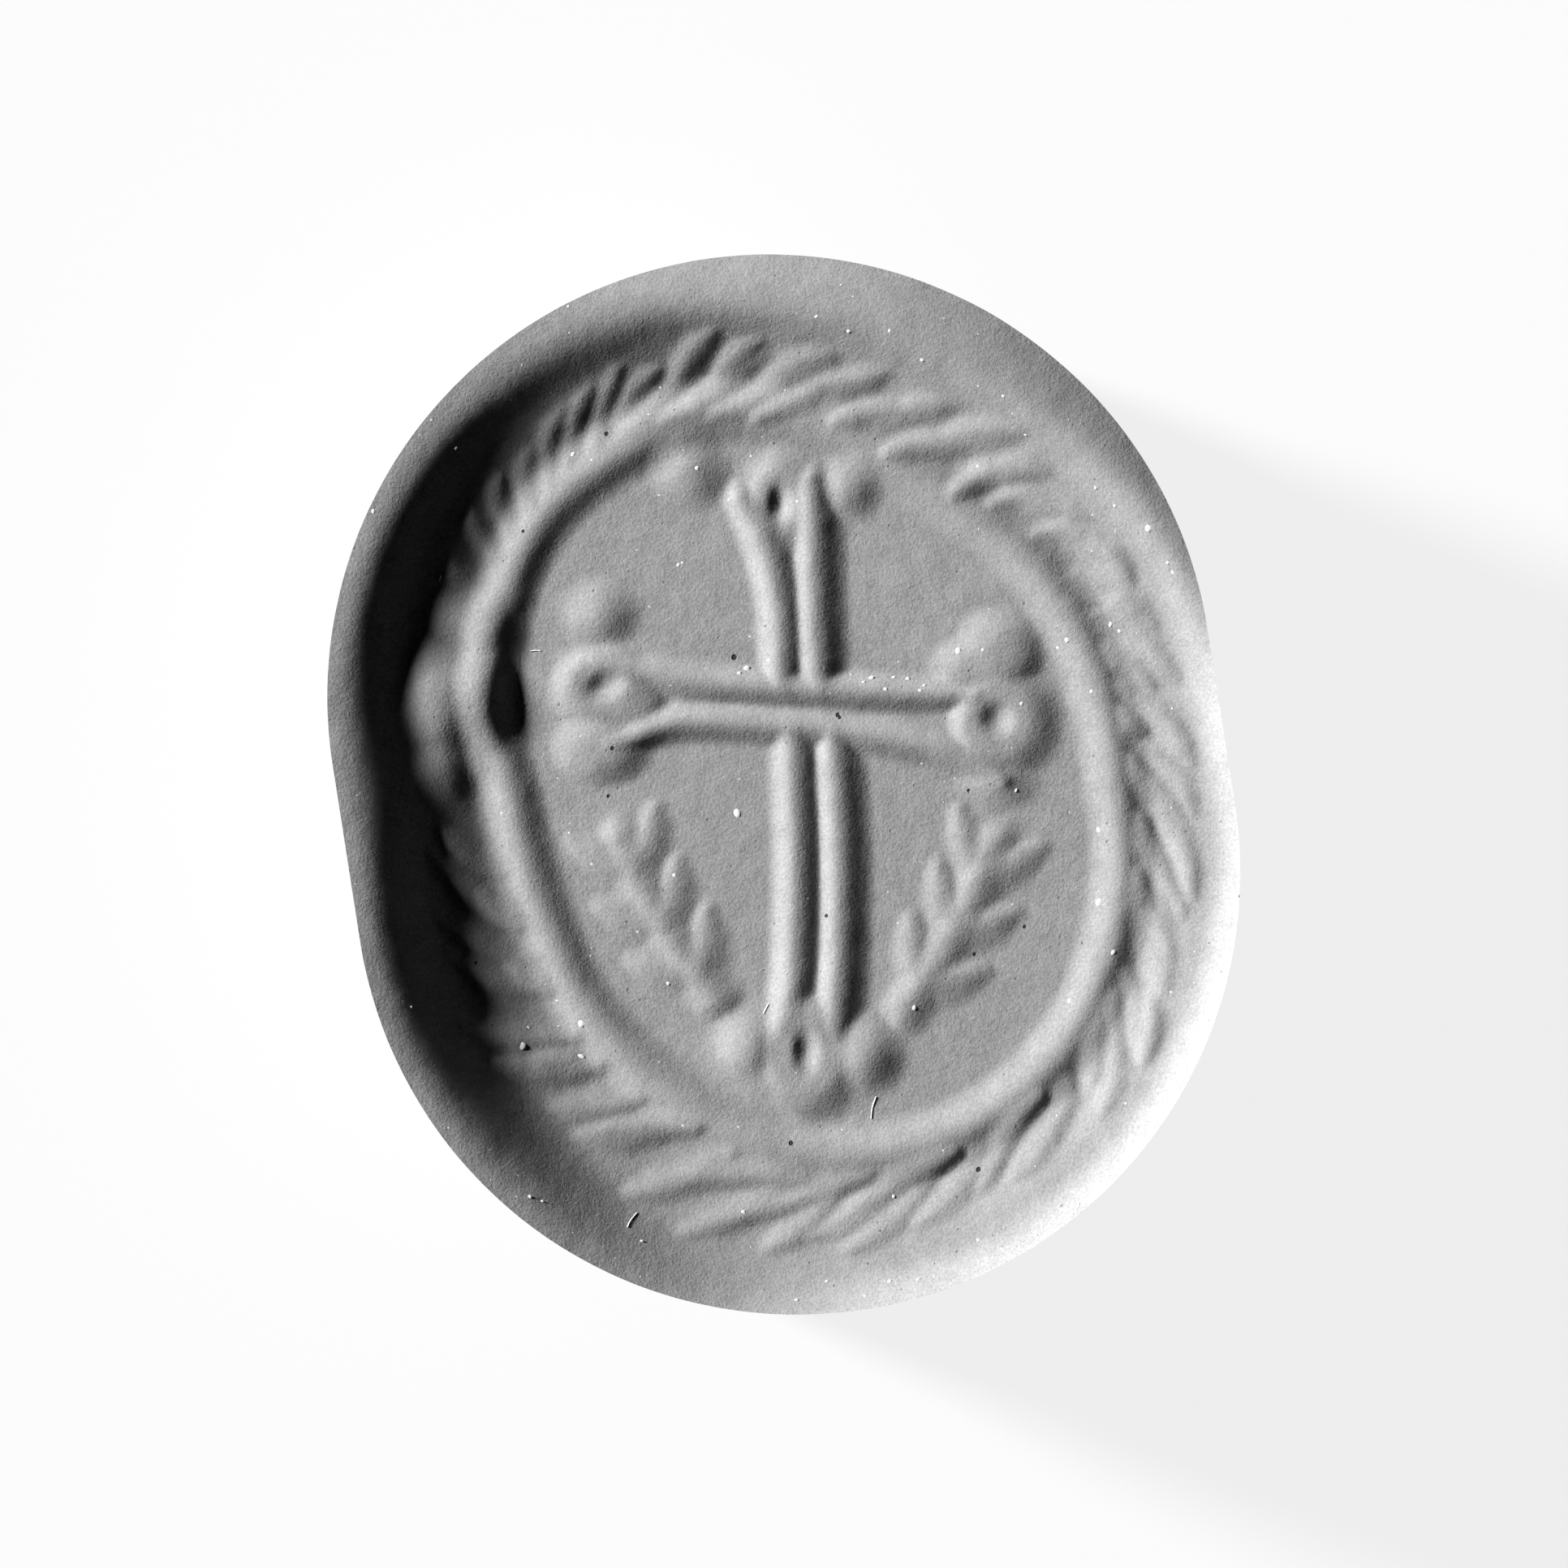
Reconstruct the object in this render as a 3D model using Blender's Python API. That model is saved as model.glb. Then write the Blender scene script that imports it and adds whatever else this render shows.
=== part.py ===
"""Pendant seal: a seal impression pressed into a front cake, carried on a back cake.

The front cake has a raised rim, a wall, a leafy border on a slope, an oval band and a flat
field with a double-line cross between two palm branches. The two cakes meet at a flat seam,
and a round channel for the hanging cord runs along the seam from the top edge to the foot.
The seal lies on its back: the face looks along +Z, and +Y points to the top of the design.
"""

import math

import bmesh
import bpy
from mathutils import Vector

MM = 0.001

# Outline: two overlapping discs of one radius, joined by straight sides
LOBE_RADIUS = 10.88 * MM
LOBE_SHIFT_X = 0.34 * MM  # half the sideways distance between the two disc centres
LOBE_SHIFT_Y = 2.16 * MM  # half the lengthways distance between the two disc centres

# Heights and thicknesses
BACK_THICKNESS = 3.4 * MM
SEAM_GAP = 0.3 * MM
FLOOR_THICKNESS = 2.3 * MM  # front cake under the flat field
BAND_HEIGHT = 0.17 * MM
SLOPE_RISE = 0.28 * MM  # the leafy border climbs this much from the band to the wall
SHOULDER_DROP = 0.08 * MM
UPPER_RIGHT_DROP = 0.40 * MM  # the rim's outer side falls away at the upper right
UPPER_RIGHT_AZIMUTH = 75.0
RIM_ROUND = 0.06 * MM

# Edges of the two cakes
FRONT_EDGE_INSET = 0.25 * MM
FRONT_EDGE_RISE = 0.25 * MM
BACK_TOP_INSET = 0.55 * MM
BACK_SIDE_INSET = 0.35 * MM
BACK_FOOT_INSET = 1.5 * MM
BACK_EDGE_RISE = 0.5 * MM

# Cord channel along the seam
CHANNEL_RADIUS = 1.2 * MM
CHANNEL_SIDES = 24

# The crest of the oval band, from the face's centre, every 15 degrees from +X round to +Y
FACE_CENTRE = Vector((0.54 * MM, 0.0))
BAND_RADII = [r * MM for r in (
    7.66, 7.60, 7.66, 7.78, 7.86, 8.24, 8.88, 9.46, 9.40, 9.26, 8.68, 8.10,
    7.36, 7.20, 7.32, 7.72, 8.10, 8.52, 9.10, 9.34, 9.32, 9.06, 8.56, 8.08,
)]
BAND_HALF_WIDTH = 0.80 * MM
# The slope from the band to the wall's foot, the rim outside the wall and the rim's height over
# the field, every 30 degrees, and the wall's section: 1 is hollow, 0 has a rounded shoulder
SLOPE_WIDTHS = [w * MM for w in (2.0, 1.7, 2.0, 1.5, 1.5, 1.75, 1.35, 1.9, 2.2, 2.6, 2.0, 1.7)]
RIM_WIDTHS = [w * MM for w in (0.16, 0.45, 1.40, 1.45, 0.45, 0.16, 0.16, 0.16, 0.16, 0.16, 0.16, 0.16)]
RIM_RISES = [h * MM for h in (0.82, 0.64, 0.55, 0.53, 0.64, 0.80, 0.96, 1.20, 1.32, 0.92, 1.06, 1.06)]
WALL_BENDS = (1.0, 0.8, 0.4, 0.2, 0.0, 0.0, 0.0, 0.0, 0.1, 0.7, 1.0, 1.0)
WALL_SHARES = (0.2, 0.4, 0.6, 0.8)
HOLLOW_POWER = 2.6
FACE_START = 5  # the first section of the profile that belongs to the face
FACETS = 96

# Leaves of the border, which all lean clockwise from the band
LEAF_COUNT = 46
LEAF_HALF_WIDTH = 0.42 * MM
LEAF_HEIGHT = 0.09 * MM
LEAF_LAP = 0.05 * MM  # how far the root of a leaf reaches onto the band
LEAF_ROOT = BAND_HALF_WIDTH - LEAF_LAP
LEAF_LENGTH_SHARE = 1.05  # length of a leaf as a share of the slope's width
LEAF_LEAN = 62.0

# A broken mound on the band at the left: centre, half sizes and height of each of its lumps
FLAW = (
    ((-8.25, 2.15), (1.15, 1.50), 0.52),
    ((-7.90, 3.60), (0.90, 1.15), 0.36),
    ((-7.95, 0.70), (0.85, 0.75), 0.36),
)

# The cross on the field, in millimetres: the lines of its strokes, and their half width
STROKE_HALF_WIDTH = 0.60 * MM
STROKE_HEIGHT = 0.18 * MM
CROSS_STROKES = {
    "upper_left": ((-0.10, 2.1), (-0.12, 3.2), (-0.16, 4.3), (-0.26, 5.2), (-0.50, 6.2), (-0.72, 7.2)),
    "upper_right": ((0.88, 2.1), (0.88, 3.2), (0.88, 4.8), (0.86, 6.4), (0.74, 7.5)),
    "upper": ((-4.6, 2.98), (-3.3, 2.72), (-2.1, 2.48), (-0.6, 2.36), (1.2, 2.26), (2.6, 2.16), (4.2, 2.12)),
    "lower": ((-5.0, 0.85), (-4.2, 1.08), (-3.2, 1.38), (-2.1, 1.48), (-0.6, 1.42), (1.2, 1.26),
              (2.6, 1.06), (3.8, 0.82), (4.9, 0.40), (5.4, 0.05)),
    "lower_left": ((0.16, 1.5), (0.20, 0.4), (0.25, -1.5), (0.24, -3.8), (0.12, -5.2), (-0.10, -6.0)),
    "lower_right": ((1.16, 1.4), (1.22, 0.4), (1.32, -1.5), (1.32, -3.8), (1.24, -5.2), (1.22, -6.0)),
    "foot": ((-1.50, -6.60), (-1.15, -7.20), (-0.30, -7.60), (0.60, -7.70), (1.50, -7.50), (2.20, -6.90)),
    "upper_right_serif": ((0.95, 6.70), (1.25, 7.15), (1.52, 7.48)),
    "right_upper_serif": ((3.90, 2.60), (4.60, 3.05), (5.40, 3.70)),
}
SERIF_HALF_WIDTH = 0.66 * MM
# The rings at the ends of the arms: centre, and half width and half length of the crest
RING_HALF_WIDTH = 0.42 * MM
CROSS_RINGS = {
    "top": ((-0.10, 7.00), (0.60, 0.82)),
    "left": ((-4.55, 2.42), (0.84, 0.74)),
    "right": ((5.25, 1.60), (0.86, 0.90)),
    "foot": ((0.43, -6.50), (0.70, 0.95)),
}
# Pellets at the serifs: centre, half sizes and height
CROSS_PELLETS = {
    "top_left": ((-2.35, 7.70), (0.80, 0.84), 0.10),
    "top_right": ((1.60, 7.45), (0.70, 0.72), 0.14),
    "left_upper": ((-4.70, 4.20), (0.85, 0.80), 0.14),
    "left_lower": ((-5.00, 0.85), (0.80, 0.75), 0.16),
    "right_lower": ((5.30, 0.10), (0.90, 0.72), 0.13),
    "foot_left": ((-0.90, -6.50), (0.90, 0.90), 0.17),
    "foot_right": ((1.70, -6.60), (0.96, 0.98), 0.19),
}

# Palm branches beside the foot of the cross: the lines of their stems, and their leaflets
STEM_HALF_WIDTH = 0.52 * MM
LEAFLET_HALF_WIDTH = 0.44 * MM
STEM_HEIGHT = 0.11 * MM
LEAFLET_LENGTH = 1.55 * MM
LEAFLET_SPREAD = 44.0
LEAFLET_PAIRS = 3
PALM_STEMS = {
    "left": ((-1.75, -5.30), (-2.60, -4.10), (-3.40, -2.80), (-4.05, -1.35)),
    "right": ((2.95, -5.50), (3.80, -4.25), (4.55, -2.90), (5.15, -1.45)),
}

STROKE_SIDES = 6
MERGE_DISTANCE = 0.003 * MM
SUNK_SHARE = 0.9  # how far a stroke reaches under its surface, as a share of its height

# Heights worked out from the sizes above
SEAM_Z = BACK_THICKNESS + SEAM_GAP
FIELD_Z = SEAM_Z + FLOOR_THICKNESS
FOOT_Z = FIELD_Z + SLOPE_RISE
CHANNEL_Z = BACK_THICKNESS + SEAM_GAP / 2

COLOUR = (0.36, 0.36, 0.36, 1.0)
ROUGHNESS = 0.82


def cubic_through(values, azimuth):
    """Smooth closed curve through values at even azimuths, read at one azimuth in degrees."""
    count = len(values)
    place = (azimuth % 360.0) / 360.0 * count
    index = int(place)
    part = place - index
    before, here, after, beyond = (values[(index + step) % count] for step in (-1, 0, 1, 2))
    return 0.5 * (
        2 * here
        + (after - before) * part
        + (2 * before - 5 * here + 4 * after - beyond) * part ** 2
        + (3 * here - before - 3 * after + beyond) * part ** 3
    )


def heading(azimuth):
    """Unit vector in the plane of the face."""
    return Vector((math.cos(math.radians(azimuth)), math.sin(math.radians(azimuth))))


def outside_lobes(point, inset):
    """True where a point lies outside the outline drawn in by an inset."""
    reach = Vector((-LOBE_SHIFT_X, LOBE_SHIFT_Y))
    along = max(-1.0, min(1.0, point.dot(reach) / reach.length_squared))
    return (point - reach * along).length > LOBE_RADIUS - inset


def outline_radius(azimuth, inset=0.0):
    """Distance from the face's centre to the outline, along an azimuth."""
    near, far = 0.0, 3 * LOBE_RADIUS + LOBE_SHIFT_Y
    for _ in range(40):
        middle = (near + far) / 2
        if outside_lobes(FACE_CENTRE + heading(azimuth) * middle, inset):
            far = middle
        else:
            near = middle
    return near


def band_radius(azimuth):
    """Distance from the face's centre to the crest of the oval band."""
    return cubic_through(BAND_RADII, azimuth)


def wall_top_radius(azimuth):
    """Distance from the face's centre to the top of the wall."""
    return outline_radius(azimuth) - cubic_through(RIM_WIDTHS, azimuth)


def wall_foot_radius(azimuth):
    """Distance to the foot of the wall, which stays inside the top of the wall."""
    wanted = band_radius(azimuth) + cubic_through(SLOPE_WIDTHS, azimuth)
    return min(wanted, wall_top_radius(azimuth) - RIM_ROUND)


def rim_z(azimuth):
    """Height of the rim's crest."""
    return FIELD_Z + cubic_through(RIM_RISES, azimuth)


def wall_drop(azimuth, share):
    """How far down the wall has come, from 0 at the rim's crest to 1 at the wall's foot."""
    rounded = share ** 2 * (3 - 2 * share)
    hollow = 1 - (1 - share) ** HOLLOW_POWER
    return rounded + (hollow - rounded) * cubic_through(WALL_BENDS, azimuth)


def shoulder_fall(azimuth):
    """How much lower the rim's outer side lies at the upper right."""
    return UPPER_RIGHT_DROP * max(0.0, math.cos(math.radians(azimuth - UPPER_RIGHT_AZIMUTH))) ** 6


def face_point(azimuth, radius, z):
    """A point given by its azimuth and distance from the face's centre."""
    flat = FACE_CENTRE + heading(azimuth) * radius
    return Vector((flat.x, flat.y, z))


def front_sections(azimuth):
    """Points of the front cake's profile at one azimuth, from its underside in to the field."""
    edge = outline_radius(azimuth)
    band = band_radius(azimuth)
    foot = wall_foot_radius(azimuth)
    top = wall_top_radius(azimuth)
    crest_z = rim_z(azimuth)
    fall = shoulder_fall(azimuth)
    rim = edge - top
    return (
        (edge - FRONT_EDGE_INSET, SEAM_Z),
        (edge - FRONT_EDGE_INSET * 0.3, SEAM_Z + FRONT_EDGE_RISE * 0.35),
        (edge, SEAM_Z + FRONT_EDGE_RISE),
        (edge, crest_z - SHOULDER_DROP - fall),
        (edge - RIM_ROUND, crest_z - fall),
        (edge - rim * 0.55, crest_z - fall * 0.3),
        (top, crest_z),
        *((top + (foot - top) * share, crest_z - (crest_z - FOOT_Z) * wall_drop(azimuth, share))
          for share in WALL_SHARES),
        (foot, FOOT_Z),
        (band + BAND_HALF_WIDTH, FIELD_Z + SLOPE_RISE * 0.1),
        (band + BAND_HALF_WIDTH * 0.5, FIELD_Z + BAND_HEIGHT * 0.6),
        (band, FIELD_Z + BAND_HEIGHT),
        (band - BAND_HALF_WIDTH * 0.5, FIELD_Z + BAND_HEIGHT * 0.5),
        (band - BAND_HALF_WIDTH, FIELD_Z),
    )


def on_face(point):
    """A point of the face above a place in its plane."""
    away = point - FACE_CENTRE
    azimuth = math.degrees(math.atan2(away.y, away.x))
    sections = front_sections(azimuth)[FACE_START:]
    for (outer, outer_z), (inner, inner_z) in zip(sections, sections[1:]):
        if inner <= away.length <= outer:
            share = (away.length - inner) / (outer - inner)
            return Vector((point.x, point.y, inner_z + (outer_z - inner_z) * share))
    return Vector((point.x, point.y, FIELD_Z))


def back_sections(azimuth):
    """Points of the back cake's profile at one azimuth, from its resting face up to the seam."""
    edge = outline_radius(azimuth)
    return (
        (edge - BACK_FOOT_INSET, 0.0),
        (edge - BACK_FOOT_INSET * 0.62, BACK_EDGE_RISE * 0.25),
        (edge - BACK_SIDE_INSET * 1.6, BACK_EDGE_RISE * 1.6),
        (edge - BACK_SIDE_INSET, BACK_THICKNESS * 0.62),
        (edge - BACK_SIDE_INSET, BACK_THICKNESS - BACK_EDGE_RISE),
        (edge - BACK_TOP_INSET, BACK_THICKNESS),
    )


def lofted_cake(name, sections):
    """Closed solid through the same sections all the way round, with a flat cap at each end."""
    mesh = bmesh.new()
    rings = []
    azimuths = [360.0 * step / FACETS for step in range(FACETS)]
    profiles = [sections(azimuth) for azimuth in azimuths]
    for level in range(len(profiles[0])):
        rings.append([
            mesh.verts.new(face_point(azimuth, *profile[level]))
            for azimuth, profile in zip(azimuths, profiles)
        ])
    for lower, upper in zip(rings, rings[1:]):
        for here in range(FACETS):
            after = (here + 1) % FACETS
            mesh.faces.new((lower[here], lower[after], upper[after], upper[here]))
    mesh.faces.new(list(reversed(rings[0])))
    mesh.faces.new(rings[-1])
    return finished_object(name, mesh)


def finished_object(name, mesh):
    """Object in the scene made from an edit mesh whose faces are turned outwards."""
    bmesh.ops.recalc_face_normals(mesh, faces=mesh.faces)
    data = bpy.data.meshes.new(name)
    mesh.to_mesh(data)
    mesh.free()
    piece = bpy.data.objects.new(name, data)
    bpy.context.scene.collection.objects.link(piece)
    return piece


def ridge(name, points, half_width, height, taper=(0.55, 0.55)):
    """Rounded stroke along a line of points that lie on the surface, half sunk into it."""
    mesh = bmesh.new()
    rings = []
    last = len(points) - 1
    shares = [0.0] + [index / last for index in range(last + 1)] + [1.0]
    stations = [points[0]] + list(points) + [points[-1]]
    for order, (share, station) in enumerate(zip(shares, stations)):
        index = min(max(order - 1, 0), last)
        ahead = points[min(index + 1, last)] - points[max(index - 1, 0)]
        along = Vector((ahead.x, ahead.y, 0.0)).normalized()
        across = Vector((-along.y, along.x, 0.0))
        size = 1.0 - (1.0 - taper[0]) * (1 - share) ** 3 - (1.0 - taper[1]) * share ** 3
        centre = station
        if order == 0:
            centre = station - along * half_width * taper[0] * 0.8
        if order == len(stations) - 1:
            centre = station + along * half_width * taper[1] * 0.8
        if order in (0, len(stations) - 1):
            size *= 0.45
        ring = []
        for side in range(STROKE_SIDES):
            turn = math.tau * (side + 0.5) / STROKE_SIDES
            lift = math.sin(turn) * height * size
            if lift < 0:
                lift *= SUNK_SHARE
            ring.append(mesh.verts.new(centre + across * math.cos(turn) * half_width * size
                                       + Vector((0, 0, lift))))
        rings.append(ring)
    for lower, upper in zip(rings, rings[1:]):
        for here in range(STROKE_SIDES):
            after = (here + 1) % STROKE_SIDES
            mesh.faces.new((lower[here], lower[after], upper[after], upper[here]))
    mesh.faces.new(list(reversed(rings[0])))
    mesh.faces.new(rings[-1])
    return finished_object(name, mesh)


def on_field(point):
    """A point of the design, given in millimetres, on the flat field."""
    return Vector((point[0] * MM, point[1] * MM, FIELD_Z))


def loop(name, centre, half_size):
    """Raised ring on the field, round or oval, half sunk into it."""
    mesh = bmesh.new()
    around, sides = 16, STROKE_SIDES
    middle = on_field(centre)
    rings = []
    for step in range(around):
        turn = math.tau * step / around
        out = Vector((math.cos(turn), math.sin(turn), 0.0))
        crest = middle + Vector((out.x * half_size[0] * MM, out.y * half_size[1] * MM, 0.0))
        rings.append([
            mesh.verts.new(
                crest
                + out * math.cos(math.tau * (side + 0.5) / sides) * RING_HALF_WIDTH
                + Vector((0, 0, math.sin(math.tau * (side + 0.5) / sides) * STROKE_HEIGHT))
            )
            for side in range(sides)
        ])
    for lower, upper in zip(rings, rings[1:] + rings[:1]):
        for here in range(sides):
            after = (here + 1) % sides
            mesh.faces.new((lower[here], lower[after], upper[after], upper[here]))
    return finished_object(name, mesh)


def pellet(name, centre, half_size, height):
    """Low oval dome on the field, half sunk into it, given in millimetres."""
    mesh = bmesh.new()
    bmesh.ops.create_uvsphere(mesh, u_segments=14, v_segments=8, radius=MM)
    bmesh.ops.scale(mesh, vec=(half_size[0], half_size[1], height), verts=mesh.verts)
    bmesh.ops.translate(mesh, vec=on_field(centre), verts=mesh.verts)
    return finished_object(name, mesh)


def leaf_strokes():
    """The leaves of the border, each leaning clockwise from the band to its tip."""
    strokes = []
    for number in range(LEAF_COUNT):
        azimuth = 360.0 * number / LEAF_COUNT
        root = FACE_CENTRE + heading(azimuth) * (band_radius(azimuth) + LEAF_ROOT)
        reach = cubic_through(SLOPE_WIDTHS, azimuth) * LEAF_LENGTH_SHARE
        aim = heading(azimuth - LEAF_LEAN) * reach
        points = [on_face(root + aim * share) for share in (0.0, 0.33, 0.67, 1.0)]
        strokes.append(ridge(f"leaf_{number}", points, LEAF_HALF_WIDTH, LEAF_HEIGHT, (0.6, 0.4)))
    return strokes


def flaw_lumps():
    """The broken mound of material on the band at the left."""
    return [pellet(f"flaw_{number}", *lump) for number, lump in enumerate(FLAW)]


def cross_strokes():
    """The double-line cross with its rings and pellets."""
    strokes = []
    for name, line in CROSS_STROKES.items():
        half_width = SERIF_HALF_WIDTH if name.endswith("serif") else STROKE_HALF_WIDTH
        strokes.append(ridge(name, [on_field(point) for point in line], half_width, STROKE_HEIGHT,
                             (0.8, 0.8)))
    strokes += [loop(f"ring_{name}", *ring) for name, ring in CROSS_RINGS.items()]
    strokes += [pellet(f"pellet_{name}", *dome) for name, dome in CROSS_PELLETS.items()]
    return strokes


def palm_strokes():
    """The two palm branches, each a stem with pairs of leaflets and one at its tip."""
    strokes = []
    for side, stem in PALM_STEMS.items():
        points = [on_field(point) for point in stem]
        strokes.append(ridge(f"stem_{side}", points, STEM_HALF_WIDTH, STEM_HEIGHT))
        for pair in range(LEAFLET_PAIRS):
            place = (pair + 0.6) / LEAFLET_PAIRS * (len(points) - 1)
            index = min(int(place), len(points) - 2)
            ahead = points[index + 1] - points[index]
            root = points[index] + ahead * (place - index)
            course = math.degrees(math.atan2(ahead.y, ahead.x))
            for turn in (-LEAFLET_SPREAD, LEAFLET_SPREAD):
                aim = heading(course + turn).to_3d() * LEAFLET_LENGTH
                strokes.append(ridge(f"leaflet_{side}_{pair}_{turn:.0f}",
                                     [root, root + aim * 0.5, root + aim],
                                     LEAFLET_HALF_WIDTH, STEM_HEIGHT))
    return strokes


def channel_cutter():
    """Round bar along the seam, longer than the cakes, that cuts the cord channel."""
    mesh = bmesh.new()
    length = 4 * (LOBE_RADIUS + LOBE_SHIFT_Y)
    bmesh.ops.create_cone(mesh, cap_ends=True, segments=CHANNEL_SIDES, radius1=CHANNEL_RADIUS,
                          radius2=CHANNEL_RADIUS, depth=length)
    for vertex in mesh.verts:
        x, y, z = vertex.co
        vertex.co = Vector((x, z, -y + CHANNEL_Z))
    return finished_object("channel_cutter", mesh)


def combine(piece, others, operation):
    """Boolean of a piece with a group of other pieces, kept as the piece's own mesh."""
    group = bpy.data.collections.new(f"{piece.name}_{operation.lower()}")
    bpy.context.scene.collection.children.link(group)
    for other in others:
        bpy.context.scene.collection.objects.unlink(other)
        group.objects.link(other)
    boolean = piece.modifiers.new("combine", "BOOLEAN")
    boolean.operation = operation
    boolean.operand_type = "COLLECTION"
    boolean.collection = group
    boolean.solver = "EXACT"
    bpy.context.view_layer.update()
    shaped = piece.evaluated_get(bpy.context.evaluated_depsgraph_get())
    data = bpy.data.meshes.new_from_object(shaped)
    piece.modifiers.clear()
    piece.data = data
    for other in others:
        bpy.data.objects.remove(other)
    bpy.data.collections.remove(group)
    close_slivers(piece)


def close_slivers(piece):
    """Merges the hair-thin edges that a Boolean leaves and turns the faces outwards."""
    mesh = bmesh.new()
    mesh.from_mesh(piece.data)
    bmesh.ops.remove_doubles(mesh, verts=mesh.verts, dist=MERGE_DISTANCE)
    bmesh.ops.dissolve_degenerate(mesh, edges=mesh.edges, dist=MERGE_DISTANCE)
    bmesh.ops.triangulate(mesh, faces=[face for face in mesh.faces if len(face.verts) > 4])
    bmesh.ops.recalc_face_normals(mesh, faces=mesh.faces)
    mesh.to_mesh(piece.data)
    mesh.free()


def finish_piece(piece, material):
    """Gives a piece its material, its smooth shading and a name for its mesh."""
    piece.data.materials.clear()
    piece.data.materials.append(material)
    piece.data.name = piece.name
    piece.data.shade_smooth()
    piece.data.set_sharp_from_angle(angle=math.radians(40))


def compound_material(name):
    """Matt pale grey sealing compound."""
    material = bpy.data.materials.new(name)
    material.use_nodes = True
    shader = material.node_tree.nodes["Principled BSDF"]
    shader.inputs["Base Color"].default_value = COLOUR
    shader.inputs["Roughness"].default_value = ROUGHNESS
    shader.inputs["Metallic"].default_value = 0.0
    return material


def main():
    """Builds the two cakes of the seal."""
    for thing in list(bpy.data.objects):
        bpy.data.objects.remove(thing)
    front = lofted_cake("front_cake", front_sections)
    combine(front, leaf_strokes() + flaw_lumps() + cross_strokes() + palm_strokes(), "UNION")
    combine(front, [channel_cutter()], "DIFFERENCE")
    back = lofted_cake("back_cake", back_sections)
    combine(back, [channel_cutter()], "DIFFERENCE")
    finish_piece(front, compound_material("front_compound"))
    finish_piece(back, compound_material("back_compound"))


main()
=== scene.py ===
"""Pendant seal, dressed: a pressed face in grey compound on its back, with dust and studio."""

import logging
import math
from dataclasses import dataclass, field
from enum import Enum
from random import Random

import bmesh
import bpy
import numpy as np
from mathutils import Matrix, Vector


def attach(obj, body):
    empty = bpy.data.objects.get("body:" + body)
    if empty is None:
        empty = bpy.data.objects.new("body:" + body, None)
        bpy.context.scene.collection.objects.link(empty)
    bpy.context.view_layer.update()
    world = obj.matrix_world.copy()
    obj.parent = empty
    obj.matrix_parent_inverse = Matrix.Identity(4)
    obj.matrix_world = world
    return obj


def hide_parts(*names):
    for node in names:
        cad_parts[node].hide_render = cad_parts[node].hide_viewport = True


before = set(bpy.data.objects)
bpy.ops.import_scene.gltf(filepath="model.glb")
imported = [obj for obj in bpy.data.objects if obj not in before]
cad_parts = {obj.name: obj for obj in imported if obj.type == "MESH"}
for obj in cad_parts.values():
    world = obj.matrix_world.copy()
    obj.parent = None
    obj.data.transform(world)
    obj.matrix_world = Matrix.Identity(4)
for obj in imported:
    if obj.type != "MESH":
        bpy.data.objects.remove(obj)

LOG = logging.getLogger("pendant_seal")
MM = 0.001

Point = tuple[float, float]


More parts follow.
